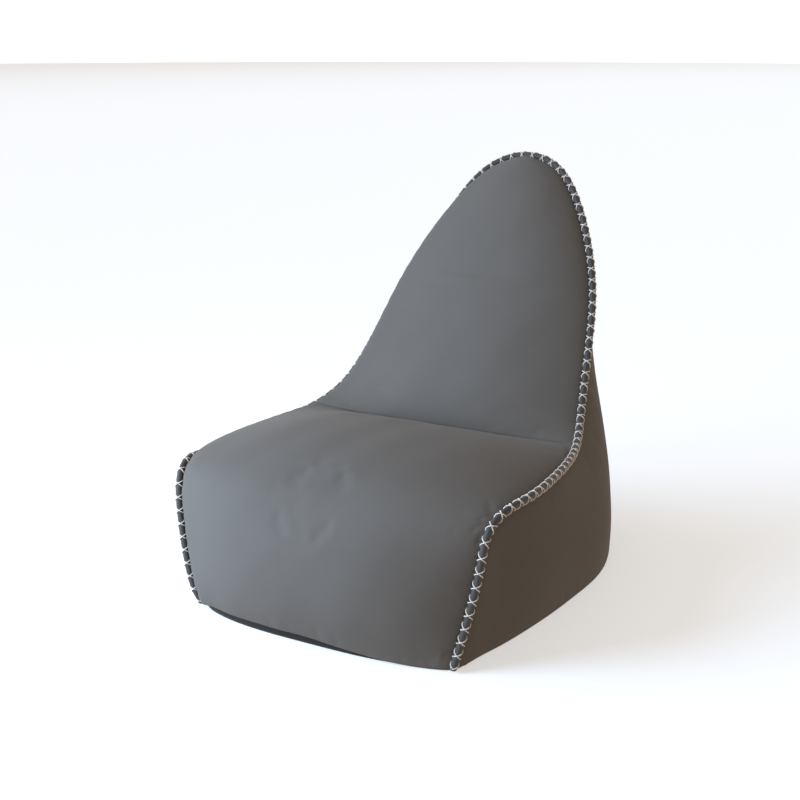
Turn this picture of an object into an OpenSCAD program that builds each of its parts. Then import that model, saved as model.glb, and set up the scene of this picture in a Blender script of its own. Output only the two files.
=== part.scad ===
/* [Overall size] */
// Width over the welts, left to right
body_w = 710; // [560:5:880]
// Depth from the front bulge to the back
body_d = 960; // [760:5:1180]
// Height to the top of the welt over the backrest
body_h = 800; // [640:5:980]
// Height of the seat's side seams, which the crease also lies at
seat_h = 283; // [230:1:350]

/* [Fabric] */
// Thickness of the outer fabric with its backing
fabric_t = 1.5; // [1:0.1:2.5]
// Height of the base fabric's turned-up rim
rim_h = 9.5; // [6:0.5:9.5]
// How far the rim stands in from the panels' lower edges
rim_in = 1; // [0.5:0.5:3]
// Thickness of the liner bag
liner_t = 0.8; // [0.5:0.1:1.5]
// Width of the tape behind the crease seam
crease_tape_w = 6; // [4:0.5:7]

/* [Welt and thread] */
// Radius of the round welt
welt_r = 6.5; // [4:0.25:10]
// Thickness of the welt's fabric casing
casing_t = 1.1; // [0.6:0.1:2]
// Length of welt covered by each cross stitch
stitch_pitch = 25.75; // [15:0.25:40]
// Radius of the stitching thread
thread_r = 1.1; // [0.6:0.1:1.6]

/* [Zip] */
// Length of the zip's chain
zip_len = 340; // [200:5:380]
// Half the width of the opening in the back that shows the zip
zip_slot = 9; // [8:0.5:14]
// Length along the chain taken by each tooth and the space after it
tooth_pitch = 4; // [3:0.5:6]
// Width of each zip tape
tape_w = 13; // [10:1:18]
// Length of the pull tab
pull_len = 30; // [18:1:45]
// Gap between the slider and the teeth
slider_gap = 0.3; // [0.2:0.05:0.6]
// Radial gap of the pull's eye on its bar
eye_gap = 0.06; // [0.02:0.01:0.1]

/* [Hidden] */
$fn = 32;

// The shape tables are drawn for these overall sizes and then scaled to the chosen ones.
drawn_w = 710;
drawn_d = 954;
drawn_h = 800;
drawn_seat = 283;
drawn_mid_y = 418;

// Seam between the top panels and the right side panel, from its foot to the top of the arch
seam_table = [[272, 6, 10], [293, 14, 105], [311, 24, 195], [317, 33, 258], [331, 86, 280],
    [343, 170, 278], [336, 270, 278], [324, 370, 278], [301, 466, 278], [268, 562, 312],
    [247, 642, 424], [230, 714, 529], [180, 786, 645], [115, 846, 741], [56, 876, 779], [0, 886, 788]];
crease_at = 8;
// Centre lines of the seat panel, the backrest panel and the back
seat_table = [[0, -34, 10], [0, -58, 60], [0, -62, 150], [0, -46, 232], [0, -4, 290], [0, 90, 325],
    [0, 210, 336], [0, 340, 322], [0, 455, 283]];
backrest_table = [[0, 455, 283], [0, 492, 330], [0, 582, 430], [0, 676, 560], [0, 756, 680],
    [0, 826, 765], [0, 883, 789]];
// Lower edge of the right side panel, from the front corner to the middle of the back
foot_table = [[281, 34, 10], [307, 120, 10], [328, 250, 10], [342, 390, 10], [346, 530, 10],
    [316, 668, 10], [238, 776, 10], [96, 786, 10], [0, 784, 10]];
// Points that shape the right side panel between the seam and its lower edge, at even steps along the seam
upper_table = [[275, 13, 10], [316, 60, 165], [347, 150, 225], [350, 315, 225], [318, 525, 232],
    [266, 672, 330], [168, 806, 480], [122, 888, 600], [0, 914, 660]];
middle_table = [[277, 20, 10], [322, 100, 110], [350, 205, 150], [356, 355, 150], [350, 540, 150],
    [282, 690, 215], [214, 805, 320], [128, 865, 410]];
lower_table = [[279, 27, 10], [318, 135, 55], [345, 255, 70], [354, 395, 70], [356, 548, 70],
    [300, 690, 100], [250, 800, 150], [138, 832, 200]];
// Points inside the body that the welt stands away from
core_table = [[0, 270, 100], [0, 270, 0], [0, 430, 20], [0, 700, 300], [0, 860, 560]];
seat_crown = 2.9;
back_crown = 2.2;

seat_rows = 16;
back_rows = 14;
rows = seat_rows + back_rows;
across = 14;
down = 9;
foot_cells = 24;
front_cells = 12;
curve_steps = 240;
seam_gap = 2.5;
crease_end = 0.002;
arch_end = 0.985;
bag_core_y = -200;
neck_at = 9;
trim_low = 0.05;
trim_span = 0.85;
liner_in = 6.5;
fill_gap = 0.6;
cap_gap = 3;
base_gap = 0.7;
roll_out = welt_r + 1;
roll_rings = 108;
casing_sides = 8;
cord_sides = 6;
cord_gap = 0.2;
thread_turn_steps = 6;
thread_sides = 3;
crease_tape_t = 0.8;
crease_tape_below = 2.4;
crease_tape_span = 0.9;
crease_tape_cells = 12;

zip_up = 60;
slot_end = 18;
tape_t = 0.6;
tape_depth = 2.4;
tape_in = 2.4;
tape_over = 14;
tooth_tip = 0.7;
tooth_root = 3.2;
tooth_t = 2.2;
bead_t = 1.6;
plate_t = 0.9;
slider_len = 12;
slider_taper = 7.2;
slider_top_w = 11;
slider_low_w = 9.2;
lip_w = 0.8;
lip_gap = 0.2;
post_t = 0.9;
post_len = 2.5;
ear_in = 2.6;
ear_t = 0.9;
bar_r = 0.8;
bar_up = 2.2;
eye_r = 1.9;
pull_t = 1.6;
pull_w = 9;
pull_neck = 7;
pull_hole_r = 2.2;
stop_t = 3.6;
stop_len = 3;
stop_gap = 0.2;
mesh_eps = 0.01;

scale_x = body_w / drawn_w;
scale_y = body_d / drawn_d;
function lift(z) = z <= drawn_seat ? z * seat_h / drawn_seat
    : seat_h + (z - drawn_seat) * (body_h - seat_h) / (drawn_h - drawn_seat);
function place(p) = [p.x * scale_x, (p.y - drawn_mid_y) * scale_y, lift(p.z)];
function placed(t) = [for (p = t) place(p)];
function flip(p) = [-p.x, p.y, p.z];
function flipped(rowset) = [for (r = rowset) [for (p = r) flip(p)]];
function both_sides(c) = concat(c, [for (i = [len(c) - 2:-1:0]) flip(c[i])]);
function unit(v) = v / max(norm(v), 1e-9);

// Uniform cubic B-spline that starts and ends on its end points
function control(c, i) = i < 0 ? 2 * c[0] - c[1] : i >= len(c) ? 2 * c[len(c) - 1] - c[len(c) - 2] : c[i];
function spline(c, t) = let (q = min(max(t, 0), 1) * (len(c) - 1), i = min(floor(q), len(c) - 2), w = q - i)
    (pow(1 - w, 3) * control(c, i - 1) + (3 * pow(w, 3) - 6 * w * w + 4) * control(c, i)
    + (-3 * pow(w, 3) + 3 * w * w + 3 * w + 1) * control(c, i + 1) + pow(w, 3) * control(c, i + 2)) / 6;
function samples(c, a, b) = [for (i = [0:curve_steps]) spline(c, a + (b - a) * i / curve_steps)];
function lengths(p) = let (n = len(p) - 1)
    [for (i = 0, d = 0; i <= n; d = d + norm(p[min(i + 1, n)] - p[i]), i = i + 1) d];
// A curve is its control points, its span of them and a table from length to position
function curve(c, a = 0, b = 1) = let (d = lengths(samples(c, a, b)))
    [c, a, b, [for (i = [0:curve_steps]) [d[i] / d[curve_steps], i / curve_steps]], d[curve_steps]];
function at(k, s) = spline(k[0], k[1] + (k[2] - k[1]) * lookup(s, k[3]));
function length(k) = k[4];

seam_path = both_sides(placed(seam_table));
seam = curve(seam_path);
half_span = len(seam_table) - 1;
seat_edge = curve(seam_path, 0, crease_at / (2 * half_span));
crease_s = length(seat_edge) / length(seam);
apex = place(seam_table[half_span]);
seat_line = curve(placed(seat_table));
backrest_line = curve(placed(backrest_table));
foot_line = curve(both_sides(placed(foot_table)));
upper_guide = both_sides(placed(upper_table));
// The back's centre line is straight between these points: each guide crosses it at an even share of the way.
// A guide passes two thirds of the way from its last two mirrored points to the middle one.
back_low = at(foot_line, 0.5);
back_high = spline(upper_guide, 0.5);
function middle_of(n, part) = 1.5 * (back_low + part * (back_high - back_low)) - 0.5 * [0, n.y, n.z];
function with_back(t, part) = let (c = placed(t)) both_sides(concat(c, [middle_of(c[len(c) - 1], part)]));
middle_guide = with_back(middle_table, 2 / 3);
lower_guide = with_back(lower_table, 1 / 3);
core_line = curve(placed(core_table));

// Positions along the whole seam, which is 1 long with the arch's top at one half
function seam_s(i) = i <= seat_rows ? crease_s * i / seat_rows
    : crease_s + (0.5 - crease_s) * (i - seat_rows) / back_rows;
function tangent(s) = unit(at(seam, min(s + 0.001, 1)) - at(seam, max(s - 0.001, 0)));
function outward(s) = let (d = at(seam, s) - at(core_line, 2 * min(s, 1 - s)), t = tangent(s))
    unit(d - t * (d * t));
function roll(s) = at(seam, s) + roll_out * outward(s);

// Rows of the seat and backrest, crowned between the seam and the centre line
function u_at(j) = sin(90 * (2 * j / across - 1));
function crowned(e, m, u, p) = let (c = 1 - pow(abs(u), p))
    [u * e.x, e.y + (m.y - e.y) * c, e.z + (m.z - e.z) * c];
function seat_row(t, e) = [for (j = [0:across]) crowned(e, at(seat_line, t), u_at(j), seat_crown)];
function backrest_row(t, e) = [for (j = [0:across]) crowned(e, at(backrest_line, t), u_at(j), back_crown)];
function trimmed(e, line, t) = e + seam_gap * unit(at(line, trim_low + trim_span * t) - e);

// Lines of the side panel, each from the seam down to the lower edge
function v_at(j) = (1 - cos(180 * j / down)) / 2;
function side_line(s, gap) = let (a = at(seam, s), g = spline(upper_guide, s))
    [a + gap * unit(g - a), g, spline(middle_guide, s), spline(lower_guide, s), at(foot_line, s)];
function side_row(s, gap) = let (c = side_line(s, gap)) [for (j = [0:down]) spline(c, v_at(j))];

// The zip lies on the straight stretch of the back's centre line
zip_dir = unit(back_high - back_low);
zip_foot = back_low + zip_dir * zip_up;
zip_mid = zip_foot + zip_dir * zip_len / 2;
zip_lean = atan2(zip_dir.y, zip_dir.z);
back_gap = seam_gap / 4;
chain_half = zip_len * zip_dir.z / 2;
function slot_at(z) = back_gap + (zip_slot - back_gap)
    * lookup(abs(z - zip_mid.z), [[chain_half + slot_end / 3, 1], [chain_half + slot_end, 0]]);
// Points of the opening's edge, as distances along the chain from the zip's lower end
slot_marks = [zip_len + slot_end, zip_len + slot_end / 3, zip_len / 2, -slot_end / 3, -slot_end];
first_mark = down - len(slot_marks);
function slot_row(r) = [for (j = [0:down])
    let (p = j < first_mark || j == down ? r[j] : zip_foot + slot_marks[j - first_mark] * zip_dir)
    [slot_at(p.z), p.y, p.z]];

// Meshes: a grid of points and the same grid set in by a distance
function cell(g, i, j) = g[min(max(i, 0), len(g) - 1)][min(max(j, 0), len(g[0]) - 1)];
function normal(g, i, j) = unit(cross(cell(g, i + 1, j) - cell(g, i - 1, j),
    cell(g, i, j + 1) - cell(g, i, j - 1)));
function inset(g, d) = [for (i = [0:len(g) - 1]) [for (j = [0:len(g[0]) - 1]) g[i][j] + d * normal(g, i, j)]];
function flat(g) = [for (r = g) for (p = r) p];
function pair(a, b, c, d) = [[a, b, c], [a, c, d]];
function quads(n, m, base, back) = [for (i = [0:n - 2]) for (j = [0:m - 2])
    let (a = base + i * m + j, q = back ? pair(a, a + 1, a + m + 1, a + m) : pair(a, a + m, a + m + 1, a + 1))
    each q];
function border(n, m) = concat([for (j = [0:m - 1]) j], [for (i = [1:n - 1]) i * m + m - 1],
    [for (j = [m - 2:-1:0]) (n - 1) * m + j], [for (i = [n - 2:-1:1]) i * m]);
module sheet(g, t, turn) {
    n = len(g);
    m = len(g[0]);
    o = n * m;
    b = border(n, m);
    k = len(b);
    skin = concat(quads(n, m, 0, turn), quads(n, m, o, !turn));
    edge = [for (i = [0:k - 1]) let (p = b[i], q = b[(i + 1) % k])
        each (turn ? pair(q, p, p + o, q + o) : pair(p, q, q + o, p + o))];
    polyhedron(concat(flat(g), flat(inset(g, turn ? -t : t))), concat(skin, edge));
}
function rings_faces(n, m, base, turn) = [for (i = [0:n - 2]) for (j = [0:m - 1])
    let (a = base + i * m + j, b = base + i * m + (j + 1) % m)
    each (turn ? pair(a, b, b + m, a + m) : pair(a, a + m, b + m, b))];
function fan(n, base, turn) = [for (j = [base + 1:base + n - 2]) turn ? [base, j + 1, j] : [base, j, j + 1]];
function crossed_faces(n, m) = [for (i = [0:n - 2]) for (j = [0:m - 1])
    let (a = i * m + j, b = i * m + (j + 1) % m) each pair(b, a, a + m, b + m)];
module solid_sweep(g, crossed = false) {
    n = len(g);
    m = len(g[0]);
    polyhedron(flat(g), concat(crossed ? crossed_faces(n, m) : rings_faces(n, m, 0, false),
        fan(m, 0, false), fan(m, (n - 1) * m, true)));
}
module hollow_sweep(g, h) {
    n = len(g);
    m = len(g[0]);
    o = n * m;
    e = (n - 1) * m;
    ends = [for (j = [0:m - 1]) let (k = (j + 1) % m) each concat(pair(j, k, k + o, j + o),
        pair(e + k, e + j, e + j + o, e + k + o))];
    polyhedron(concat(flat(g), flat(h)),
        concat(rings_faces(n, m, 0, false), rings_faces(n, m, o, true), ends));
}

// Rings round the welt's centre line
function ring_point(s, r, a) = let (o = outward(s), b = cross(tangent(s), o))
    roll(s) + r * (cos(a) * o + sin(a) * b);
function welt_rings(r, sides) = [for (i = [0:roll_rings]) [for (j = [0:sides - 1])
    ring_point(i / roll_rings, r, -360 * j / sides)]];
turns = round(length(seam) / stitch_pitch);
function thread_point(s, hand) = ring_point(s, welt_r + thread_r - 0.3, -90 + hand * 360 * turns * s);
function thread_ring(i, n, hand) = let (s = i / n, p = thread_point(s, hand),
    t = unit(thread_point(min(s + 0.1 / n, 1), hand) - thread_point(max(s - 0.1 / n, 0), hand)),
    o = unit(p - roll(s)), a = unit(o - t * (o * t)), b = cross(t, a))
    [for (j = [0:thread_sides - 1]) let (w = -360 * j / thread_sides)
        p + thread_r * (cos(w) * a + sin(w) * b)];
module thread(hand) {
    n = turns * thread_turn_steps;
    solid_sweep([for (i = [0:n]) thread_ring(i, n, hand)], hand < 0);
}

// Closed rings of the whole body for what is inside the panels.
function body_row(i) = let (s = seam_s(i), side = side_row(s, 0), e = at(seam, s),
    top = i <= seat_rows ? seat_row(i / seat_rows, e) : backrest_row((s - crease_s) / (0.5 - crease_s), e))
    concat([for (j = [down:-1:1]) flip(side[j])], [for (j = [1:across - 1]) top[j]],
        [for (j = [1:down]) side[j]]);
body_grid = [for (i = [0:rows - 1]) body_row(i)];
function settled(g, floor_z) = [for (i = [0:len(g) - 1]) let (m = len(g[0])) [for (j = [0:m - 1])
    let (p = g[i][j]) [p.x, p.y, i == 0 || j == 0 || j == m - 1 ? floor_z : max(p.z, floor_z)]]];
// The front hem's points move towards the body's middle, the others along their normals
function drawn_in(p, d) = p + d * unit([0, bag_core_y, p.z] - p);
function bag(d, floor_z) = let (g = inset(body_grid, d))
    settled([for (i = [0:rows - 1]) i > 0 ? g[i] : [for (p = body_grid[0]) drawn_in(p, d)]], floor_z);
// Faces that close a ring across the middle, pairing the points of its two halves
function closing(m, base, from, to, turn) = [for (j = [from:to - 1])
    let (a = base + j, b = base + m - 1 - j)
    each (turn ? pair(a, b, b - 1, a + 1) : pair(a, a + 1, b - 1, b))];
function bag_faces(n, m, base, turn, top) = concat(rings_faces(n, m, base, turn),
    closing(m, base, 0, floor(m / 2), turn), closing(m, base + (n - 1) * m, 0, top, !turn));

// Outline of the base, along the panels' lower edges
outline = let (foot = [for (i = [0:foot_cells]) at(foot_line, 0.5 * i / foot_cells)],
    corner = at(seam, 0), middle = at(seat_line, 0))
    concat([for (j = [0:front_cells]) crowned(corner, middle, 2 * j / front_cells - 1, seat_crown)],
        foot, [for (i = [foot_cells - 1:-1:0]) flip(foot[i])]);
function plan_in(d) = let (n = len(outline)) [for (i = [0:n - 1])
    let (t = outline[(i + 1) % n] - outline[(i + n - 1) % n], p = outline[i] + d * unit([-t.y, t.x, 0]))
    [p.x, p.y]];

module seat_panel() color([0.42, 0.43, 0.44])
    sheet([for (i = [0:seat_rows]) let (t = min(i / seat_rows, 1 - crease_end),
        e = trimmed(at(seam, crease_s * t), seat_line, t)) seat_row(t, e)], fabric_t, false);
module backrest_panel() color([0.42, 0.43, 0.44])
    sheet([for (i = [0:back_rows]) let (t = min(max(i / back_rows, crease_end), arch_end),
        e = trimmed(at(seam, crease_s + (0.5 - crease_s) * t), backrest_line, t)) backrest_row(t, e)],
        fabric_t, false);
side_grid = [for (i = [0:rows]) i < rows ? side_row(seam_s(i), seam_gap) : slot_row(side_row(0.5, seam_gap))];
module right_side_panel() color([0.3, 0.27, 0.24]) sheet(side_grid, fabric_t, false);
module left_side_panel() color([0.3, 0.27, 0.24]) sheet(flipped(side_grid), fabric_t, true);
module base_panel() color([0.08, 0.08, 0.08]) difference() {
    linear_extrude(rim_h) polygon(plan_in(rim_in));
    translate([0, 0, fabric_t]) linear_extrude(rim_h) polygon(plan_in(rim_in + fabric_t));
}
module edge_welt_casing() color([0.2, 0.2, 0.2])
    hollow_sweep(welt_rings(welt_r, casing_sides), welt_rings(welt_r - casing_t, casing_sides));
module edge_welt_cord() color([0.85, 0.85, 0.82])
    solid_sweep(welt_rings((welt_r - casing_t) * cos(180 / casing_sides) - cord_gap, cord_sides));
module cross_stitch_thread_a() color([0.92, 0.92, 0.9]) thread(1);
module cross_stitch_thread_b() color([0.92, 0.92, 0.9]) thread(-1);
module crease_seam_tape() color([0.15, 0.15, 0.15]) {
    rise_front = unit(at(seat_line, 0.97) - at(seat_line, 1));
    rise_back = unit(at(backrest_line, 0.03) - at(backrest_line, 0));
    inward = -unit(rise_front + rise_back);
    across_it = cross([1, 0, 0], inward);
    sheet([for (side = [-1, 1]) [for (j = [0:crease_tape_cells])
        let (u = crease_tape_span * (2 * j / crease_tape_cells - 1))
        crowned(at(seam, crease_s), at(seat_line, 1), u, seat_crown)
            + crease_tape_below * inward - side * crease_tape_w / 2 * across_it]], crease_tape_t, false);
}
module inner_liner() color([0.9, 0.9, 0.88]) {
    g = bag(liner_in, fabric_t + base_gap);
    h = bag(liner_in + liner_t, fabric_t + base_gap + liner_t);
    n = len(g);
    m = len(g[0]);
    o = n * m;
    e = (n - 1) * m;
    rim = [for (j = [neck_at:m - 1 - neck_at]) e + j];
    k = len(rim);
    neck = [for (j = [0:k - 1]) each pair(rim[(j + 1) % k], rim[j], rim[j] + o, rim[(j + 1) % k] + o)];
    polyhedron(concat(flat(g), flat(h)),
        concat(bag_faces(n, m, 0, false, neck_at), bag_faces(n, m, o, true, neck_at), neck));
}
// The filling's last ring stands clear of the liner's closed end
function clear_of_end(p) = p - min(cap_gap, p.z / 20) * [0, 1, 1];
module bean_filling() color([0.96, 0.96, 0.96]) {
    g = bag(liner_in + liner_t + fill_gap, fabric_t + base_gap + liner_t + fill_gap);
    n = len(g);
    m = len(g[0]);
    polyhedron([for (i = [0:n - 1]) for (p = g[i]) i == n - 1 ? clear_of_end(p) : p],
        bag_faces(n, m, 0, false, floor(m / 2)));
}

// Zip parts: X across, Y out of the back, Z along the chain from its lower end
module on_back() translate(zip_foot) rotate([-zip_lean, 0, 0]) children();
module block(x0, x1, y0, y1, z0, z1) translate([x0, y0, z0]) cube([x1 - x0, y1 - y0, z1 - z0]);
module tape() block(tape_in, tape_in + tape_w, -tape_depth - tape_t / 2, -tape_depth + tape_t / 2,
    -tape_over, zip_len + tape_over);
module teeth(shift) {
    block(tape_in - mesh_eps, tooth_root, -tape_depth - bead_t / 2, -tape_depth + bead_t / 2, 0, zip_len);
    for (k = [0:floor(zip_len / tooth_pitch) - 1])
        block(tooth_tip, tooth_root, -tape_depth - tooth_t / 2, -tape_depth + tooth_t / 2,
            (k + shift) * tooth_pitch, (k + shift + 0.5) * tooth_pitch);
}
module zip_tape_right() color([0.1, 0.1, 0.1]) on_back() tape();
module zip_tape_left() color([0.1, 0.1, 0.1]) on_back() mirror([1, 0, 0]) tape();
module zip_teeth_right() color([0.16, 0.16, 0.16]) on_back() teeth(0);
module zip_teeth_left() color([0.16, 0.16, 0.16]) on_back() mirror([1, 0, 0]) teeth(0.5);
slider_top = zip_len + stop_gap;
module zip_top_stops() color([0.2, 0.2, 0.2]) on_back() for (side = [0, 1]) mirror([side, 0, 0])
    block(tooth_tip, tape_in - mesh_eps, -tape_depth - stop_t / 2, -tape_depth + stop_t / 2,
        slider_top + stop_gap, slider_top + stop_gap + stop_len);
module zip_bottom_stop() color([0.2, 0.2, 0.2]) on_back()
    block(-tape_in + mesh_eps, tape_in - mesh_eps, -tape_depth - stop_t / 2, -tape_depth + stop_t / 2,
        -stop_gap - stop_len, -stop_gap);
bar_z = slider_top - slider_len / 2;
plate_in = tooth_t / 2 + slider_gap;
module plate() rotate([90, 0, 0]) translate([0, 0, -plate_t]) linear_extrude(plate_t)
    polygon([for (p = [[-slider_low_w, 0], [slider_low_w, 0], [slider_top_w, slider_taper],
        [slider_top_w, slider_len], [-slider_top_w, slider_len], [-slider_top_w, slider_taper]])
        [p.x / 2, p.y]]);
module zip_slider() color([0.45, 0.45, 0.46]) on_back() {
    for (face = [0, 1]) translate([0, -tape_depth, slider_top - slider_len]) mirror([0, face, 0]) {
        translate([0, plate_in, 0]) plate();
        for (side = [0, 1]) mirror([side, 0, 0])
            block(slider_low_w / 2 - lip_w, slider_low_w / 2, tape_t / 2 + lip_gap, plate_in + plate_t / 2,
                0, slider_len);
    }
    block(-post_t / 2, post_t / 2, -tape_depth - plate_in - plate_t / 2, -tape_depth + plate_in + plate_t / 2,
        slider_top - post_len, slider_top);
    front = -tape_depth + plate_in + plate_t;
    for (side = [0, 1]) mirror([side, 0, 0])
        block(ear_in, ear_in + ear_t, front - plate_t / 2, front + bar_up + 2 * bar_r,
            bar_z - 2 * bar_r, bar_z + 2 * bar_r);
    translate([-ear_in - ear_t / 2, front + bar_up, bar_z]) rotate([0, 90, 0])
        cylinder(r = bar_r, h = 2 * ear_in + ear_t);
}
// The pull hangs straight down from the slider's bar
lean_out = -tape_depth + plate_in + plate_t + bar_up;
pull_at = zip_foot + zip_dir * bar_z + lean_out * [0, zip_dir.z, -zip_dir.y];
module zip_pull() color([0.45, 0.45, 0.46]) translate(pull_at) {
    eye_w = 2 * (ear_in - slider_gap);
    difference() {
        union() {
            translate([-eye_w / 2, 0, 0]) rotate([0, 90, 0]) cylinder(r = eye_r, h = eye_w);
            block(-eye_w / 2, eye_w / 2, -pull_t / 2, pull_t / 2, -pull_neck - 1, -bar_r - eye_gap);
            block(-pull_w / 2, pull_w / 2, -pull_t / 2, pull_t / 2, -pull_len, -pull_neck);
        }
        translate([-eye_w / 2 - 1, 0, 0]) rotate([0, 90, 0]) cylinder(r = bar_r + eye_gap, h = eye_w + 2);
        translate([0, 1 + pull_t / 2, pull_hole_r * 2.5 - pull_len]) rotate([90, 0, 0])
            cylinder(r = pull_hole_r, h = pull_t + 2);
    }
}

seat_panel();
backrest_panel();
left_side_panel();
right_side_panel();
base_panel();
edge_welt_casing();
edge_welt_cord();
cross_stitch_thread_a();
cross_stitch_thread_b();
crease_seam_tape();
inner_liner();
bean_filling();
zip_tape_left();
zip_tape_right();
zip_teeth_left();
zip_teeth_right();
zip_top_stops();
zip_bottom_stop();
zip_slider();
zip_pull();
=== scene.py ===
import math

import bmesh
import bpy
import numpy as np
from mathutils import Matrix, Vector


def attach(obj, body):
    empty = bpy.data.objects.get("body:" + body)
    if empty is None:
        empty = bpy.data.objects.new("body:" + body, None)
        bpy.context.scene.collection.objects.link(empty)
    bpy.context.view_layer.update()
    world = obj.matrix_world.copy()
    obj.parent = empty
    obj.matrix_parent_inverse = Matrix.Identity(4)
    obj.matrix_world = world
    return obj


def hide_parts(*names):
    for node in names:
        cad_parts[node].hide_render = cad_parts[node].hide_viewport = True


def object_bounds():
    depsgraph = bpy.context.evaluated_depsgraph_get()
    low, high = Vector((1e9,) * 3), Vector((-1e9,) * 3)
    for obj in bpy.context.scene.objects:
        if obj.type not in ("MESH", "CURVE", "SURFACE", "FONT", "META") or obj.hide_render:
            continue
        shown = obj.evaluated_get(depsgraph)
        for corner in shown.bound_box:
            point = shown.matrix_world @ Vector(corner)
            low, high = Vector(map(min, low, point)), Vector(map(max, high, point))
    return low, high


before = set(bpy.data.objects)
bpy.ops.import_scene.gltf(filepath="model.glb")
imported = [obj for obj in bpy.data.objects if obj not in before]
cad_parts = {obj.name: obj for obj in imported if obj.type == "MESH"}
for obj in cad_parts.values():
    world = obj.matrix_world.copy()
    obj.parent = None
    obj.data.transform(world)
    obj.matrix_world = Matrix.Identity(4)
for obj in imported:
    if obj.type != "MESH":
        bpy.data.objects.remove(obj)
cad_low, cad_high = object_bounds()

MM = 0.001
# The shape tables are in millimetres for a body of this size, and follow the CAD box.
DRAWN = (709.5, 954.0, 799.9)
MID_Y = 418.0  # the drawn depth that lies at y = 0 in the frame
SCALE = [(cad_high[k] - cad_low[k]) / (DRAWN[k] * MM) for k in range(3)]

# The right half of the seam from the front foot to the top of the arch, in even steps
SEAM = [(272, 6, 10), (293, 14, 105), (311, 24, 195), (317, 33, 258), (331, 86, 280), (343, 170, 278),
        (336, 270, 278), (324, 370, 278), (301, 466, 278), (268, 562, 312), (247, 642, 424), (230, 714, 529),
        (180, 786, 645), (115, 846, 741), (56, 876, 779), (0, 886, 788)]
CREASE_AT = 8  # the seam point that lies beside the crease
# Centre lines of the two top panels
SEAT = [(0, -34, 10), (0, -58, 60), (0, -62, 150), (0, -46, 232), (0, -4, 290), (0, 90, 325), (0, 210, 336),
        (0, 340, 322), (0, 455, 283)]
BACKREST = [(0, 455, 283), (0, 492, 330), (0, 582, 430), (0, 676, 560), (0, 756, 680), (0, 826, 765),
            (0, 883, 789)]
# The side panel's lower edge, and the guides that it bulges out to on the way up to the seam
FOOT = [(281, 34, 10), (307, 120, 10), (328, 250, 10), (342, 390, 10), (346, 530, 10), (316, 668, 10),
        (238, 776, 10), (96, 786, 10), (0, 784, 10)]
UPPER = [(275, 13, 10), (316, 60, 165), (347, 150, 225), (350, 315, 225), (318, 525, 232), (266, 672, 330),
         (168, 806, 480), (122, 888, 600), (0, 914, 660)]
MIDDLE = [(277, 20, 10), (322, 100, 110), (350, 205, 150), (356, 355, 150), (350, 540, 150), (282, 690, 215),
          (214, 805, 320), (128, 865, 410)]
LOWER = [(279, 27, 10), (318, 135, 55), (345, 255, 70), (354, 395, 70), (356, 548, 70), (300, 690, 100),
         (250, 800, 150), (138, 832, 200)]
# A line inside the body that the seam's outward direction points away from
CORE = [(0, 270, 100), (0, 270, 0), (0, 430, 20), (0, 700, 300), (0, 860, 560)]
SEAT_CROWN, BACK_CROWN = 2.9, 2.2  # how square the panels' cross sections are
WELT_R = 6.5
ROLL_OUT = 7.0  # from the seam to the welt's centre
FOOT_EXTRA = 0.0022344  # share of the seam that the welt runs on past each end of it, about 6.5 mm
FOOT_ROUND = 3.0  # length over which the welt's ends round off
CORD_R = 4.6
PITCH = 25.75  # one stitch
THREAD_R = 1.05
ZIP_SLOT, ZIP_UP, ZIP_LEN, SLOT_END = 9.0, 60.0, 340.0, 18.0
SEAM_HALF_GAP = 0.5
ARCH_END = 0.993  # share of the backrest's line where its panel ends
HEM = 10.0
HEM_LOW, HEM_RISE = 1.6, 15.0
FABRIC = 1.0  # thickness
LINER_IN, BEADS_IN = 6.0, 8.5
INNER_FLOOR = 2.5  # height of the inner bodies' flat underside


# ---------- curves and surfaces, all in drawn millimetres ----------
def spline(ctrl, t):
    """A uniform cubic B-spline through its end points. ctrl may hold points or whole rows of points."""
    c = np.asarray(ctrl, float)
    n = len(c) - 1
    c = np.concatenate([[2 * c[0] - c[1]], c, [2 * c[-1] - c[-2]]])
    q = np.clip(np.asarray(t, float) * n, 0, n - 1e-9)
    i = np.floor(q).astype(int)
    w = (q - i).reshape(q.shape + (1,) * (c.ndim - 1))
    return ((1 - w) ** 3 * c[i] + (3 * w**3 - 6 * w**2 + 4) * c[i + 1]
            + (-3 * w**3 + 3 * w**2 + 3 * w + 1) * c[i + 2] + w**3 * c[i + 3]) / 6


def both_sides(c):
    """The right half's points, then the left half's."""
    c = [tuple(p) for p in c]
    return c + [(-x, y, z) for x, y, z in reversed(c[:-1])]


class Curve:
    """A spline that is read by its share of length."""

    def __init__(self, ctrl, a=0.0, b=1.0, steps=2000):
        t = np.linspace(a, b, steps)
        p = spline(ctrl, t)
        d = np.concatenate([[0], np.cumsum(np.linalg.norm(np.diff(p, axis=0), axis=1))])
        self.ctrl, self.t, self.length, self.d = ctrl, t, d[-1], d / d[-1]

    def __call__(self, s):
        return spline(self.ctrl, np.interp(s, self.d, self.t))


seam = Curve(both_sides(SEAM))
seat_edge = Curve(both_sides(SEAM), 0, CREASE_AT / (2 * (len(SEAM) - 1)))
CREASE_S = seat_edge.length / seam.length
seat_line, backrest_line, core_line = Curve(SEAT), Curve(BACKREST), Curve(CORE)
foot_line = Curve(both_sides(FOOT))
upper_guide = both_sides(UPPER)
low, high = foot_line(0.5), spline(upper_guide, 0.5)


def with_back(table, part):
    """Adds the middle point that keeps the back's centre line straight."""
    last = np.array(table[-1], float) * (0, 1, 1)
    return both_sides(table + [tuple(1.5 * (low + part * (high - low)) - 0.5 * last)])


middle_guide, lower_guide = with_back(MIDDLE, 2 / 3), with_back(LOWER, 1 / 3)


def unit(v):
    return v / np.maximum(np.linalg.norm(v, axis=-1, keepdims=True), 1e-9)


def dot(a, b):
    return np.sum(a * b, axis=-1, keepdims=True)


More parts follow.
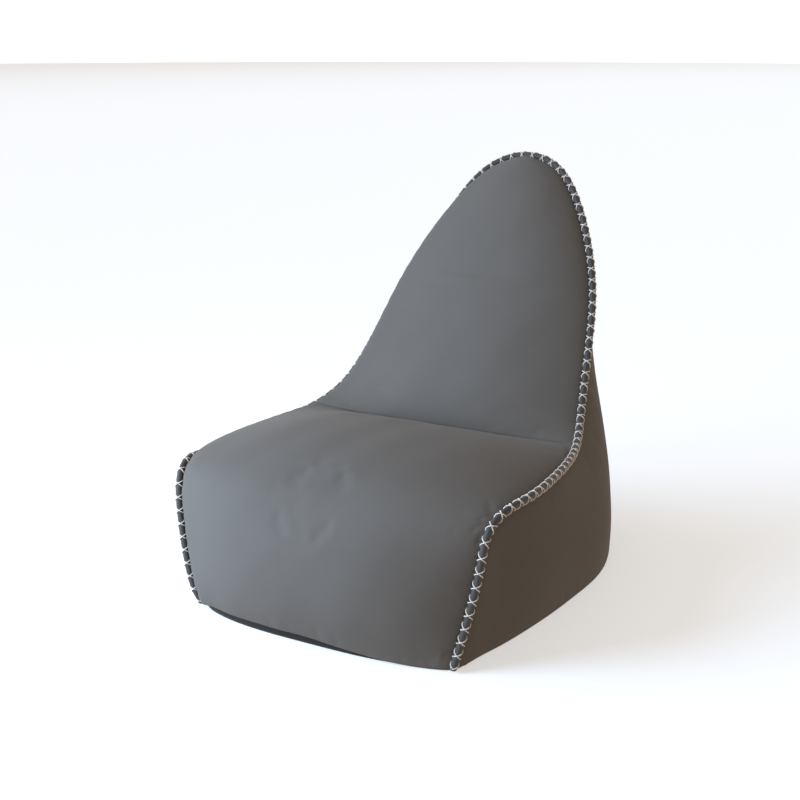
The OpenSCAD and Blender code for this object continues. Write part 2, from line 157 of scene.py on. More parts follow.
def smooth(a, b, x):
    t = np.clip((x - a) / (b - a), 0, 1)
    return t * t * (3 - 2 * t)


def tangent(s):
    return unit(seam(np.clip(s + 0.001, 0, 1)) - seam(np.clip(s - 0.001, 0, 1)))


def outward(s):
    """Square to the seam, away from the body."""
    d = seam(s) - core_line(2 * np.minimum(s, 1 - s))
    t = tangent(s)
    return unit(d - t * dot(d, t))


# How far the sewn seam wanders from the drawn one, every twentieth of its length from each foot
DRIFT_RIGHT = [(3, 0, 0), (7, 0, 0), (1, 0, 0)] + [(0, 0, 0)] * 8
DRIFT_LEFT = [(0, 0, 0), (0, 0, 0), (0, 0, -8), (0, 0, -26), (0, 0, -6), (-3, 3, 2), (2, 6, 0), (9, 13, 0),
              (12, 17, 0), (9, 11, 0), (0, 0, 0)]
LEFT_BULGE = [(5, 0, 0), (4, 0, 0), (5, 0, 0), (6, 0, 0), (9, 0, 0), (12, 0, 0), (12, 0, 0), (11, 0, 0),
              (11, 0, 0), (7, 0, 0), (3, 0, 0)]
CORNER_DRIFT = np.array([9.0, 12.0, 0.0])  # at the left foot
CORNER_REACH = 30.0
LEFT_TILT = math.radians(65)


def drift(s):
    s = np.clip(s, 0, 1)
    near = np.exp(-(1 - s) * seam.length / CORNER_REACH)[..., None] * CORNER_DRIFT
    return np.where(s[..., None] <= 0.5, spline(DRIFT_RIGHT, 2 * s), spline(DRIFT_LEFT, 2 * (1 - s)) + near)


def left_rise(s):
    """Height of the fabric's bulge beside the left seam."""
    return spline(LEFT_BULGE, 2 * s)[:, :1, None]


def roll_tilt(s):
    """The left welt lies over towards the side panel where the top panel bulges past it."""
    q = 1 - s
    return LEFT_TILT * smooth(0.09, 0.13, q) * (1 - smooth(0.42, 0.47, q)) * (s > 0.5)


def roll(s):
    """Centre of the welt. Past the seam's ends it runs straight on, s being still a share of the seam."""
    over = np.minimum(s, 0) + np.maximum(s - 1, 0)
    c = np.clip(s, 0, 1)
    o, t = outward(c), tangent(c)
    a = roll_tilt(c)[..., None]
    away = np.cos(a) * o + np.sin(a) * np.cross(t, o)
    return seam(c) + drift(c) + away * ROLL_OUT + t * (over * seam.length)[..., None]


def top_grid(part, nt, u):
    """Rows from front to crease, or from crease to arch, for u from -1 to 1."""
    t = np.linspace(0, 1, nt)
    if part == "seat":
        s, line, p = CREASE_S * t, seat_line, SEAT_CROWN
    else:
        t = t * ARCH_END
        s, line, p = CREASE_S + (0.5 - CREASE_S) * t, backrest_line, BACK_CROWN
    e, m = seam(s)[:, None, :], line(t)[:, None, :]
    c = (1 - np.abs(u) ** p)[None, :, None]
    g = e + (m - e) * c
    g[..., 0] = u[None, :] * e[..., 0]
    return g, s


def side_grid(s, v):
    """Lines from the seam down to the foot, s from 0 to a half."""
    guides = [spline(guide, s) for guide in (upper_guide, middle_guide, lower_guide)]
    return np.swapaxes(spline([seam(s), *guides, foot_line(s)], v), 0, 1)


def normals(g):
    """Outward normals of a grid whose rows run back along the body and whose columns run right or down."""
    return unit(np.cross(np.gradient(g, axis=1), np.gradient(g, axis=0)))


def to_world(p):
    """Drawn millimetres to metres in the CAD frame."""
    p = np.asarray(p, float)
    return np.stack([p[..., 0] * SCALE[0], (p[..., 1] - MID_Y) * SCALE[1], p[..., 2] * SCALE[2]], -1) * MM


# ---------- meshes ----------
def make(name, points, faces, uvs=None, smooth_faces=True):
    mesh = bpy.data.meshes.new(name)
    mesh.from_pydata(points.tolist(), [], faces)
    if uvs is not None:
        layer = mesh.uv_layers.new(name="cloth")
        loops = np.zeros(len(mesh.loops), int)
        mesh.loops.foreach_get("vertex_index", loops)
        layer.data.foreach_set("uv", uvs[loops].astype(np.float32).ravel())
    mesh.polygons.foreach_set("use_smooth", [smooth_faces] * len(mesh.polygons))
    mesh.update()
    obj = bpy.data.objects.new(name, mesh)
    bpy.context.scene.collection.objects.link(obj)
    return obj


def grid_faces(n, m, wrap=False, turn=False):
    i, j = np.meshgrid(np.arange(n - 1), np.arange(m if wrap else m - 1), indexing="ij")
    k = (j + 1) % m
    q = np.stack([i * m + j, i * m + k, (i + 1) * m + k, (i + 1) * m + j], -1).reshape(-1, 4)
    return (q[:, ::-1] if turn else q).tolist()


def close_up(obj):
    """Fills open ends and turns every face outwards."""
    bm = bmesh.new()
    bm.from_mesh(obj.data)
    bmesh.ops.holes_fill(bm, edges=[e for e in bm.edges if e.is_boundary], sides=0)
    bmesh.ops.recalc_face_normals(bm, faces=bm.faces)
    bm.to_mesh(obj.data)
    bm.free()


def grid_object(name, g, uv, turn=False):
    n, m = g.shape[:2]
    return make(name, to_world(g).reshape(-1, 3), grid_faces(n, m, turn=turn), uv.reshape(-1, 2) * MM)


def lengths(g, axis):
    """Distance travelled along one axis of a grid."""
    d = np.linalg.norm(np.diff(g, axis=axis), axis=-1)
    pad = np.zeros_like(np.take(d, [0], axis=axis))
    return np.concatenate([pad, np.cumsum(d, axis=axis)], axis=axis)


def thicken(obj, thickness):
    m = obj.modifiers.new("thickness", "SOLIDIFY")
    m.thickness = thickness * MM
    m.offset = -1
    return m


# ---------- fabric relief ----------
rng = np.random.default_rng(11)
waves = [(unit(rng.normal(size=3)), rng.uniform(0, 2 * np.pi), w) for w in (150, 190, 230, 95, 120, 310, 270)]


def soft_noise(p):
    return sum(np.sin(2 * np.pi * (p @ d) / w + a) for d, a, w in waves) / len(waves)


def seam_pucker(dist, s, reach=13.0, depth=0.55):
    """Fabric drawn in towards each stitch, dying out away from the seam."""
    return -depth * np.exp(-(dist / reach)) * (0.55 + 0.45 * np.cos(2 * np.pi * s * seam.length / PITCH))


def fold(p, start, end, width, depth):
    """A shallow groove along a line in space."""
    a, b = np.array(start, float), np.array(end, float)
    d = b - a
    t = np.clip(((p - a) @ d) / (d @ d), 0, 1)
    r = np.linalg.norm(p - (a + t[..., None] * d), axis=-1)
    return -depth * np.exp(-(r / width) ** 2) * np.sin(np.pi * np.clip(t, 0, 1)) ** 0.7


def mirrored(f, p):
    q = p.copy()
    q[..., 0] *= -1
    return f(p) + f(q)


def from_edges(g):
    """Distance of each point from the nearer end of its row."""
    return np.minimum(np.linalg.norm(g - g[:, :1], axis=-1), np.linalg.norm(g - g[:, -1:], axis=-1))


def relief_seat(g, s):
    edge = from_edges(g)
    h = 1.6 * soft_noise(g) * smooth(0, 60, edge)
    h += seam_pucker(edge, s[:, None])
    h += mirrored(lambda p: fold(p, (296, 440, 290), (215, 400, 325), 9, 1.6)
                  + fold(p, (303, 410, 288), (240, 345, 325), 12, 1.2), g)
    return h


def relief_back(g, s):
    edge = from_edges(g)
    h = 1.5 * soft_noise(g + 400) * smooth(0, 60, edge)
    u = np.clip(g[..., 0] / np.maximum(g[:, -1:, 0], 1), -1, 1)
    h += 15 * (1 - u**4) * smooth(-1.0, 0.7, u) * np.sin(np.pi * np.linspace(0, 1, len(g)))[:, None]
    h += seam_pucker(edge, s[:, None])
    h += mirrored(lambda p: fold(p, (290, 486, 292), (190, 520, 365), 9, 1.8)
                  + fold(p, (280, 520, 310), (200, 590, 420), 12, 1.3), g)
    return h


def relief_side(g, s):
    edge = np.linalg.norm(g - g[:, :1], axis=-1)
    h = 1.8 * soft_noise(g + 900) * smooth(0, 60, edge)
    h += seam_pucker(edge, s[:, None])
    h += fold(g, (305, 480, 268), (330, 520, 150), 12, 2.0)
    h += fold(g, (282, 560, 300), (300, 640, 190), 13, 2.4)
    h += fold(g, (262, 620, 380), (255, 700, 300), 12, 2.2)
    return h


def shoulder(dist, height, reach=22.0):
    """The filling pushes the fabric out just beside the seam."""
    return height * (dist / reach) * np.exp(1 - dist / reach)


def lip(edge, inward, away, steps=(1.5, 4.0, 7.0)):
    """Rows that carry a panel's edge down behind the welt. away points to the panel's own side."""
    return [edge + inward * d + away * (SEAM_HALF_GAP + 0.04 * d) for d in steps]


def hem_height(x):
    """Height of the panels' lower edge: it rides up at the left of the front and sits low at the right."""
    return HEM_LOW + HEM_RISE * (1 - smooth(-40, 235, x)) * smooth(-310, -215, x)


def set_hem(g):
    """Moves the level hem to its real height. On the left it is level again towards the back."""
    near = np.exp(-np.maximum(g[..., 2] - HEM, 0) / 28)
    front = 1 - smooth(60, 330, g[..., 1])
    height = hem_height(g[..., 0])
    want = np.where(g[..., 0] < 0, HEM + (height - HEM) * front, height)
    g[..., 2] += (want - HEM) * near
    return g


# ---------- cloth simulation of each panel ----------
FRAMES = 20


def resample(d, n, m):
    """Smooth enlargement of a grid of movements to n by m."""
    for axis, size in ((0, n), (1, m)):
        d = np.moveaxis(d, axis, 0)
        k = len(d)
        q = np.linspace(0, k - 1, size)
        i = np.clip(np.floor(q).astype(int), 0, k - 2)
        w = (q - i).reshape(-1, *[1] * (d.ndim - 1))
        a, b, c, e = (d[np.clip(i + o, 0, k - 1)] for o in (-1, 0, 1, 2))
        d = 0.5 * (2 * b + (c - a) * w + (2 * a - 5 * b + 4 * c - e) * w**2
                   + (3 * b - a - 3 * c + e) * w**3)
        d = np.moveaxis(d, 0, axis)
    return d


def cloth_settled(g, turn=False, pressure=3.0, slack=0.002, cap=4.0, coarse=(64, 60)):
    """Inflates a slightly roomy cloth held by its edges. Gives each point's movement in millimetres."""
    n, m = g.shape[:2]
    rows = np.round(np.linspace(0, n - 1, coarse[0])).astype(int)
    cols = np.round(np.linspace(0, m - 1, coarse[1])).astype(int)
    c = g[rows][:, cols]
    obj = make("settling", c.reshape(-1, 3) * MM, grid_faces(*coarse, turn=turn))
    held = obj.vertex_groups.new(name="held")
    ids = np.arange(coarse[0] * coarse[1]).reshape(coarse)
    held.add(np.unique(np.concatenate([ids[0], ids[-1], ids[:, 0], ids[:, -1]])).tolist(), 1.0, "REPLACE")
    mod = obj.modifiers.new("cloth", "CLOTH")
    c_set = mod.settings
    c_set.quality, c_set.mass = 6, 0.35
    c_set.tension_stiffness = c_set.compression_stiffness = 18
    c_set.shear_stiffness, c_set.bending_stiffness = 8, 1.2
    c_set.vertex_group_mass = "held"
    c_set.use_pressure, c_set.uniform_pressure_force = True, pressure
    c_set.shrink_min = -slack
    c_set.effector_weights.gravity = 0
    mod.collision_settings.use_collision = False
    scene = bpy.context.scene
    for f in range(1, FRAMES + 1):
        scene.frame_set(f)
    dg = bpy.context.evaluated_depsgraph_get()
    ev = obj.evaluated_get(dg).to_mesh()
    moved = np.zeros(len(ev.vertices) * 3)
    ev.vertices.foreach_get("co", moved)
    d = moved.reshape(c.shape) / MM - c
    scene.frame_set(1)
    bpy.data.objects.remove(obj)
    size = np.linalg.norm(d, axis=-1, keepdims=True)
    d *= cap * np.tanh(size / cap) / np.maximum(size, 1e-6)
    print("settled", n, m, "largest movement", round(float(size.max()), 2), "mm")
    return resample(d, n, m)


# ---------- the four outer panels ----------
MIRROR = np.array([-1.0, 1, 1])


def u_spread(n):
    """From -1 to 1, closer together at the ends."""
    x = np.linspace(-1, 1, n)
    return 0.35 * x + 0.65 * np.sin(np.pi / 2 * x)


def turned(row, nrm, back, depths):
    """Rows that take a panel's end down out of sight. Each is a depth and a shift along the panel."""
    return np.stack([row - nrm * d + back * b for d, b in depths])


def top_panel(name, part, nt, nu, relief):
    u = u_spread(nu)
    g, s = top_grid(part, nt, u)
    right, left = seam(s) + drift(s), seam(s) * MIRROR + drift(1 - s)
    g = g + cloth_settled(g)
    for edge, shift, out, rise, reach in ((g[:, -1:], drift(s), outward(s), 3.0, 24),
                                          (g[:, :1], drift(1 - s), outward(s) * MIRROR, left_rise(s), 16)):
        dist = np.linalg.norm(g - edge, axis=-1)[..., None]
        g = g + shift[:, None] * np.exp(-dist / reach) + out[:, None] * shoulder(dist, rise, reach)
    n = normals(g)
    n[0], n[-1] = n[1], n[-2]
    n[:, 0], n[:, -1] = n[:, 1], n[:, -2]
    g = g + n * relief(g, s)[..., None]
    if part == "seat":
        g = set_hem(g)
        right, left = set_hem(right), set_hem(left)
    away_r, away_l = unit(g[:, -4] - g[:, -1]), unit(g[:, 3] - g[:, 0])
    g[:, -1] = right + away_r * SEAM_HALF_GAP
    g[:, 0] = left + away_l * SEAM_HALF_GAP
    rows_r = np.stack(lip(right, -outward(s), away_r), 1)
    rows_l = np.stack(lip(left, -outward(s) * MIRROR, away_l)[::-1], 1)
    g = np.concatenate([rows_l, g, rows_r], axis=1)
    # the ends turn down into the crease, the hem or the arch's seam
    first_n, last_n = unit(n[1].mean(0)), unit(n[-2].mean(0))
    along0, along1 = unit((g[1] - g[0]).mean(0)), unit((g[-1] - g[-2]).mean(0))
    tail = turned(g[-1], last_n, along1, [(2.5, 0.2), (6, -0.6), (10, -2.0)])
    g = np.concatenate([g, tail])
    if part == "back":
        head = turned(g[0], first_n, along0, [(10, 2.0), (6, 0.6), (2.5, -0.2)])
        g = np.concatenate([head, g])
    across = lengths(g, 1)
    uv = np.stack([across - across[:, g.shape[1] // 2][:, None], lengths(g, 0)], -1)
    return grid_object(name, g, uv)


seat = top_panel("seat_fabric", "seat", 150, 141, relief_seat)
backrest = top_panel("backrest_fabric", "back", 130, 121, relief_back)


def slot_at(z, lean):
    """Half the gap at the centre-back seam: open along the zip, closed above and below it."""
    mid = low[2] + (ZIP_UP + ZIP_LEN / 2) * lean
    d = np.abs(z - mid) - ZIP_LEN * lean / 2
    return SEAM_HALF_GAP + (ZIP_SLOT - SEAM_HALF_GAP) * (1 - smooth(SLOT_END / 3, SLOT_END, d))


def side_panel(name, sign):
    s = np.concatenate([np.linspace(0, 0.49, 210)[:-1], np.linspace(0.49, 0.5, 8)])
    v = (1 - np.cos(np.pi * np.linspace(0, 1, 80))) / 2 * 0.7 + np.linspace(0, 1, 80) * 0.3
    g = side_grid(s, v)
    shift = drift(s) if sign > 0 else drift(1 - s) * MIRROR
    dist = np.linalg.norm(g - g[:, :1], axis=-1)[..., None]
    centre = (1 - smooth(0.46, 0.49, s))[:, None]
    g = g + cloth_settled(g, coarse=(90, 46)) * centre[..., None]
    g = g + shift[:, None] * (1 - smooth(0, 120, dist))
    g = g + outward(s)[:, None] * shoulder(dist, 3.0) * (1 - smooth(0.44, 0.48, s))[:, None, None]
    n = normals(g)
    n[:, 0] = n[:, 1]
    n[0] = n[1]
    n[-1] = n[-2] * (0, 1, 1)
    n = unit(n)
    g = g + n * (relief_side(g, s) * centre)[..., None]
    edge = seam(s) + shift
    g[..., 0] *= sign
    edge[..., 0] *= sign
    g, edge = set_hem(g), set_hem(edge)
    g[..., 0] *= sign
    edge[..., 0] *= sign
    lean = unit(high - low)[2]
    # the back edges stand off the middle for the zip, and meet above and below it
    slot = slot_at(g[..., 2], lean)
    g[..., 0] = np.maximum(g[..., 0], slot + (g[..., 0]) * 0.35 * (g[..., 0] < slot / 0.65))
    away = unit(g[:, 4] - g[:, 1])
    g[:, 0] = edge + away * SEAM_HALF_GAP
    g[:, 0, 0] = np.maximum(g[:, 0, 0], SEAM_HALF_GAP)
    rows = np.stack(lip(edge, -outward(s), away)[::-1], 1)
    rows[..., 0] = np.maximum(rows[..., 0], SEAM_HALF_GAP)
    g = np.concatenate([rows, g], axis=1)
    # the back edge turns in
    turn_in = unit(n[-1]).mean(0)
    inner = np.stack([g[-1] + np.array([-0.3, 0, 0]) - turn_in * d for d in (1.2, 3.5)])
    inner[..., 0] = np.maximum(inner[..., 0], 0.2)
    g = np.concatenate([g, inner])
    g[..., 0] *= sign
    uv = np.stack([lengths(g, 0), lengths(g, 1)], -1)
    return grid_object(name, g, uv, turn=sign < 0)


right_side = side_panel("right_side_fabric", 1)
left_side = side_panel("left_side_fabric", -1)
for panel in (seat, backrest, right_side, left_side):
    thicken(panel, FABRIC)


def base_cloth():
    f = foot_line(np.linspace(0, 0.5, 160))
    u = np.linspace(-1, 1, 90)
    e, m = seam(np.zeros(1)), seat_line(np.zeros(1))
    crown = (1 - np.abs(u) ** SEAT_CROWN)[:, None]
    front = np.column_stack([u * e[0, 0], e[0, 1:] + (m[0, 1:] - e[0, 1:]) * crown])
    out = np.concatenate([front, f, (f * (-1, 1, 1))[::-1][1:]])
    corner = seam(np.ones(1))
    out = out + CORNER_DRIFT * np.exp(-np.linalg.norm(out - corner, axis=-1, keepdims=True) / CORNER_REACH)
    t = np.roll(out, -1, 0) - np.roll(out, 1, 0)
    inn = unit(np.stack([-t[:, 1], t[:, 0], 0 * t[:, 0]], -1))
    rim = set_hem(out.copy())[:, 2:]
    up = np.array([0, 0, 1.0])
    # each ring is a share of the hem's height, a rise above it, and a distance inside the outline
    rings = [(1, 4.0, 3.4), (1, 2.5, 2.4), (1, 0, 2.4), (0.62, 0, 2.8), (0.3, 0, 3.8), (0.1, 0, 5.2),
             (0, 0.4, 8.0), (0, 0, 11.0)]
    g = [out * (1, 1, 0) + inn * d + up * (rim * k + z) for k, z, d in rings]
    centre = np.array([0, 400, 0.0])
    for k in (0.9, 0.7, 0.45, 0.2, 0.02):
        ring = centre + (g[len(rings) - 1] - centre) * k
        ring[:, 2] = 0
        g.append(ring)
    g = np.stack(g)
    uv = g[..., :2]
    return make("base_fabric", to_world(g).reshape(-1, 3),
                grid_faces(len(g), g.shape[1], wrap=True, turn=True), uv.reshape(-1, 2) * MM)


base = base_cloth()


# ---------- welt and its stitching ----------
turns = round(seam.length / PITCH)


def frame_at(s):
    """Outward, along and across the seam."""
    c = np.clip(s, 0, 1)
    o, t = outward(c), tangent(c)
    return o, t, np.cross(t, o)


def welt_radius(s):
    """Drawn in at each crossing of the threads."""
    return WELT_R * (0.955 + 0.045 * np.abs(np.sin(np.pi * turns * s)) ** 0.8)


def sweep(name, centre, o, b, radius, sides):
    """A closed tube round a line, o and b being two directions square to it."""
    n = len(centre)
    a = np.linspace(0, 2 * np.pi, sides + 1)
    r = np.broadcast_to(np.reshape(radius, (-1, 1)), (n, sides + 1))
    spokes = np.cos(a)[None, :, None] * o[:, None] + np.sin(a)[None, :, None] * b[:, None]
    g = centre[:, None] + r[..., None] * spokes
    d = np.concatenate([[0], np.cumsum(np.linalg.norm(np.diff(centre, axis=0), axis=1))])
    uv = np.stack(np.broadcast_arrays(a[None, :] * np.mean(r), d[:, None]), -1)
    obj = make(name, to_world(g[:, :-1]).reshape(-1, 3), grid_faces(n, sides, wrap=True),
               uv[:, :-1].reshape(-1, 2) * MM)
    close_up(obj)
    return obj


s_welt = np.linspace(-FOOT_EXTRA, 1 + FOOT_EXTRA, turns * 14 + 1)
seam_out, _, seam_across = frame_at(s_welt)
to_end = np.minimum(s_welt + FOOT_EXTRA, 1 + FOOT_EXTRA - s_welt) * seam.length
end_round = np.sqrt(np.clip(to_end / FOOT_ROUND, 0.05, 1))
welt = sweep("welt_roll", roll(s_welt), seam_out, seam_across, welt_radius(s_welt) * end_round, 28)
inner = slice(8, -8)
cord = sweep("welt_cord_core", roll(s_welt[inner]), seam_out[inner], seam_across[inner], CORD_R, 12)


def thread(name, hand):
    """One turn per stitch, passing over and under the other thread where they cross."""
    s = np.linspace(0, 1, turns * 26 + 1)
    o, _, b = frame_at(s)
    phase = 2 * np.pi * turns * s
    face = unit(np.array([0.25, -0.9, 0.35]))
    a = np.unwrap(np.arctan2(b @ face, o @ face)) + hand * phase
    over = hand * 0.55 * THREAD_R * np.cos(phase)
    r = welt_radius(s) + THREAD_R * 0.75 + over
    p = roll(s) + r[:, None] * (np.cos(a)[:, None] * o + np.sin(a)[:, None] * b)
    t = unit(np.gradient(p, axis=0))
    out = unit(p - roll(s))
    n = unit(out - t * dot(out, t))
    return sweep(name, p, n, np.cross(t, n), THREAD_R, 8)


thread_a, thread_b = thread("stitch_thread_a", 1), thread("stitch_thread_b", -1)


# ---------- inside ----------
def inner_body(name, inset_by):
    """A closed body that follows the panels at a distance inside them."""
    s = np.linspace(0.001, 0.485, 90)
    v = np.linspace(0.06, 1, 30)
    side = side_grid(s, v)
    u = np.linspace(-0.94, 0.94, 40)
    rows = []
    for k, sk in enumerate(s):
        if sk <= CREASE_S:
            line, part, p = seat_line, sk / CREASE_S, SEAT_CROWN
        else:
            line, part, p = backrest_line, (sk - CREASE_S) / (0.5 - CREASE_S), BACK_CROWN
        e, m = seam(np.array([sk]))[0], line(np.array([part]))[0]
        c = 1 - np.abs(u) ** p
        top = np.stack([u * e[0], e[1] + (m[1] - e[1]) * c, e[2] + (m[2] - e[2]) * c], -1)
        rows.append(np.concatenate([side[k][::-1] * (-1, 1, 1), top, side[k]]))
    g = np.stack(rows)
    g = g - normals(g) * inset_by
    lowest = INNER_FLOOR + 0.2 * inset_by
    g[..., 2] = np.maximum(g[..., 2], lowest)
    g[0, :, 2] = g[:, 0, 2] = g[:, -1, 2] = lowest
    n, m = g.shape[:2]
    # the lower edges stand well inside the base's rim
    low_down = (1 - smooth(6, 45, g[..., 2]))[..., None]
    g = g + low_down * 9 * unit((np.array([0, 380.0, 0]) - g) * (1, 1, 0))
    obj = make(name, to_world(g).reshape(-1, 3), grid_faces(n, m, wrap=True), g[..., 1:].reshape(-1, 2) * MM)
    close_up(obj)
    return obj


liner = inner_body("liner_bag", LINER_IN)
beads = inner_body("bead_filling", BEADS_IN)


# ---------- materials ----------
def material(name):
    m = bpy.data.materials.new(name)
    m.use_nodes = True
    nt = m.node_tree
    nt.nodes.clear()
    out = nt.nodes.new("ShaderNodeOutputMaterial")
    bsdf = nt.nodes.new("ShaderNodeBsdfPrincipled")
    nt.links.new(bsdf.outputs[0], out.inputs[0])
    return m, nt, bsdf


def node(nt, kind, inputs=None, **props):
    n = nt.nodes.new(kind)
    for k, v in props.items():
        setattr(n, k, v)
    for k, v in (inputs or {}).items():
        if isinstance(v, bpy.types.NodeSocket):
            nt.links.new(v, n.inputs[k])
        else:
            n.inputs[k].default_value = v
    return n


def math_node(nt, op, a, b=None):
    inputs = {i: v for i, v in enumerate((a, b)) if v is not None}
    return node(nt, "ShaderNodeMath", inputs, operation=op).outputs[0]


def mix_colour(nt, fac, a, b, blend="MIX"):
    n = node(nt, "ShaderNodeMix", data_type="RGBA", blend_type=blend)
    for k, v in ((0, fac), (6, a), (7, b)):
        if isinstance(v, bpy.types.NodeSocket):
            nt.links.new(v, n.inputs[k])
        else:
            n.inputs[k].default_value = v
    return n.outputs[2]


def ramp(nt, fac, stops):
    n = node(nt, "ShaderNodeValToRGB", {0: fac})
    e = n.color_ramp.elements
    e[0].position, e[0].color = stops[0][0], (*[stops[0][1]] * 3, 1)
    e[1].position, e[1].color = stops[-1][0], (*[stops[-1][1]] * 3, 1)
    for p, v in stops[1:-1]:
        x = e.new(p)
        x.color = (v, v, v, 1)
    return n.outputs[0]


def cloth(name, colour, pitch=1.1, rough=0.9, sheen=0.12, spec=0.2, use_uv=True):
    """Plain weave of crossing threads with painted shade in the gaps between them, slubs along both threads
    and slight random changes of tone.
    """
    bump, streak, cloud = 0.09, 0.07, 0.06
    m, nt, bsdf = material(name)
    if use_uv:
        coord = node(nt, "ShaderNodeUVMap", uv_map="cloth").outputs[0]
    else:
        coord = node(nt, "ShaderNodeTexCoord").outputs["Object"]
    sep = node(nt, "ShaderNodeSeparateXYZ", {0: coord})
    k = math.pi / (pitch * MM)
    x, y = math_node(nt, "MULTIPLY", sep.outputs[0], k), math_node(nt, "MULTIPLY", sep.outputs[1], k)
    warp, weft = (math_node(nt, "ABSOLUTE", math_node(nt, "SINE", v)) for v in (x, y))
    up = math_node(nt, "GREATER_THAN", math_node(nt, "MULTIPLY", math_node(nt, "COSINE", x),
                                                  math_node(nt, "COSINE", y)), 0.0)
    over = math_node(nt, "MULTIPLY", warp, up)
    under = math_node(nt, "MULTIPLY", weft, math_node(nt, "SUBTRACT", 1.0, up))
    weave = math_node(nt, "ADD", over, under)
    slubs = []
    for stretch in ((620, 28, 200), (28, 620, 200)):
        along = node(nt, "ShaderNodeMapping", {0: coord, 3: stretch}).outputs[0]
        noise = node(nt, "ShaderNodeTexNoise", {"Vector": along, "Scale": 1.0, "Detail": 3.0})
        slubs.append(noise.outputs[0])
    slub = math_node(nt, "MULTIPLY", math_node(nt, "ADD", *slubs), 0.5)
    clouds = node(nt, "ShaderNodeTexNoise", {"Vector": coord, "Scale": 7.0, "Detail": 4.0}).outputs[0]
    streaks = math_node(nt, "MULTIPLY", ramp(nt, slub, [(0.36, 0.0), (0.64, 1.0)]), streak)
    patches = math_node(nt, "MULTIPLY", ramp(nt, clouds, [(0.3, 0.0), (0.7, 1.0)]), cloud)
    shade = math_node(nt, "ADD", 1.0 - 0.5 * (streak + cloud), math_node(nt, "ADD", streaks, patches))
    # painted shade: the colour drops to 0.86 of the yarn's in the gaps between the woven threads
    threads = math_node(nt, "ADD", 0.86, math_node(nt, "MULTIPLY", weave, 0.14))
    shade = math_node(nt, "MULTIPLY", shade, threads)
    tint = node(nt, "ShaderNodeCombineColor", {0: shade, 1: shade, 2: shade}).outputs[0]
    nt.links.new(mix_colour(nt, 1.0, (*colour, 1), tint, blend="MULTIPLY"), bsdf.inputs["Base Color"])
    height = math_node(nt, "ADD", math_node(nt, "MULTIPLY", weave, 0.6),
                       math_node(nt, "MULTIPLY", slub, 0.5))
    bmp = node(nt, "ShaderNodeBump", {"Strength": bump, "Distance": 0.25 * MM, "Height": height})
    nt.links.new(bmp.outputs[0], bsdf.inputs["Normal"])
    roughness = math_node(nt, "ADD", rough - 0.06, math_node(nt, "MULTIPLY", slub, 0.1))
    nt.links.new(roughness, bsdf.inputs["Roughness"])
    bsdf.inputs["Sheen Weight"].default_value = sheen
    bsdf.inputs["Sheen Roughness"].default_value = 0.5
    bsdf.inputs["Specular IOR Level"].default_value = spec
    return m


def twisted_thread(name, colour):
    """Plies that wind round the thread, with painted shade where the plies meet, and a little fuzz."""
    m, nt, bsdf = material(name)
    coord = node(nt, "ShaderNodeUVMap", uv_map="cloth").outputs[0]
    sep = node(nt, "ShaderNodeSeparateXYZ", {0: coord})
    diag = math_node(nt, "ADD", math_node(nt, "MULTIPLY", sep.outputs[1], 2800.0),
                     math_node(nt, "MULTIPLY", sep.outputs[0], 2850.0))
    ply = math_node(nt, "ABSOLUTE", math_node(nt, "SINE", diag))
    fuzz = node(nt, "ShaderNodeTexNoise", {"Vector": coord, "Scale": 900.0, "Detail": 2.0}).outputs[0]
    # painted shade: the colour drops to 0.62 of the thread's where the plies meet
    groove_painted_shade, worn = [(*[c * k for c in colour], 1) for k in (0.62, 0.8)]
    col = mix_colour(nt, ramp(nt, ply, [(0.0, 0.0), (0.5, 1.0)]), groove_painted_shade, (*colour, 1))
    col = mix_colour(nt, math_node(nt, "MULTIPLY", fuzz, 0.2), col, worn)
    nt.links.new(col, bsdf.inputs["Base Color"])
    height = math_node(nt, "ADD", ply, math_node(nt, "MULTIPLY", fuzz, 0.3))
    bmp = node(nt, "ShaderNodeBump", {"Strength": 0.6, "Distance": 0.25 * MM, "Height": height})
    nt.links.new(bmp.outputs[0], bsdf.inputs["Normal"])
    bsdf.inputs["Roughness"].default_value = 0.6
    bsdf.inputs["Sheen Weight"].default_value = 0.3
    return m


def hard(name, colour, metallic, rough, wear=0.15):
    """Plastic or metal with fine wear that lightens it."""
    m, nt, bsdf = material(name)
    coord = node(nt, "ShaderNodeTexCoord").outputs["Object"]
    noise = node(nt, "ShaderNodeTexNoise", {"Vector": coord, "Scale": 400.0, "Detail": 4.0}).outputs[0]
    lighter = (*[min(1, c * 2.2 + 0.03) for c in colour], 1)
    nt.links.new(mix_colour(nt, math_node(nt, "MULTIPLY", noise, wear), (*colour, 1), lighter),
                 bsdf.inputs["Base Color"])
    roughness = math_node(nt, "ADD", math_node(nt, "MULTIPLY", noise, 0.25), rough - 0.12)
    nt.links.new(roughness, bsdf.inputs["Roughness"])
    bmp = node(nt, "ShaderNodeBump", {"Strength": 0.1, "Distance": 0.1 * MM, "Height": noise})
    nt.links.new(bmp.outputs[0], bsdf.inputs["Normal"])
    bsdf.inputs["Metallic"].default_value = metallic
    return m


def bead_material(name):
    m, nt, bsdf = material(name)
    coord = node(nt, "ShaderNodeTexCoord").outputs["Object"]
    cells = node(nt, "ShaderNodeTexVoronoi", {"Vector": coord, "Scale": 250.0}).outputs["Distance"]
    # painted shade: the colour turns grey in the gaps between the beads
    painted_shade_between_beads = ramp(nt, cells, [(0.3, 0.0), (0.8, 1.0)])
    nt.links.new(mix_colour(nt, painted_shade_between_beads, (0.92, 0.92, 0.91, 1), (0.55, 0.55, 0.55, 1)),
                 bsdf.inputs["Base Color"])
    height = math_node(nt, "SUBTRACT", 1.0, cells)
    bmp = node(nt, "ShaderNodeBump", {"Strength": 1.0, "Distance": 2 * MM, "Height": height})
    nt.links.new(bmp.outputs[0], bsdf.inputs["Normal"])
    bsdf.inputs["Roughness"].default_value = 0.7
    return m


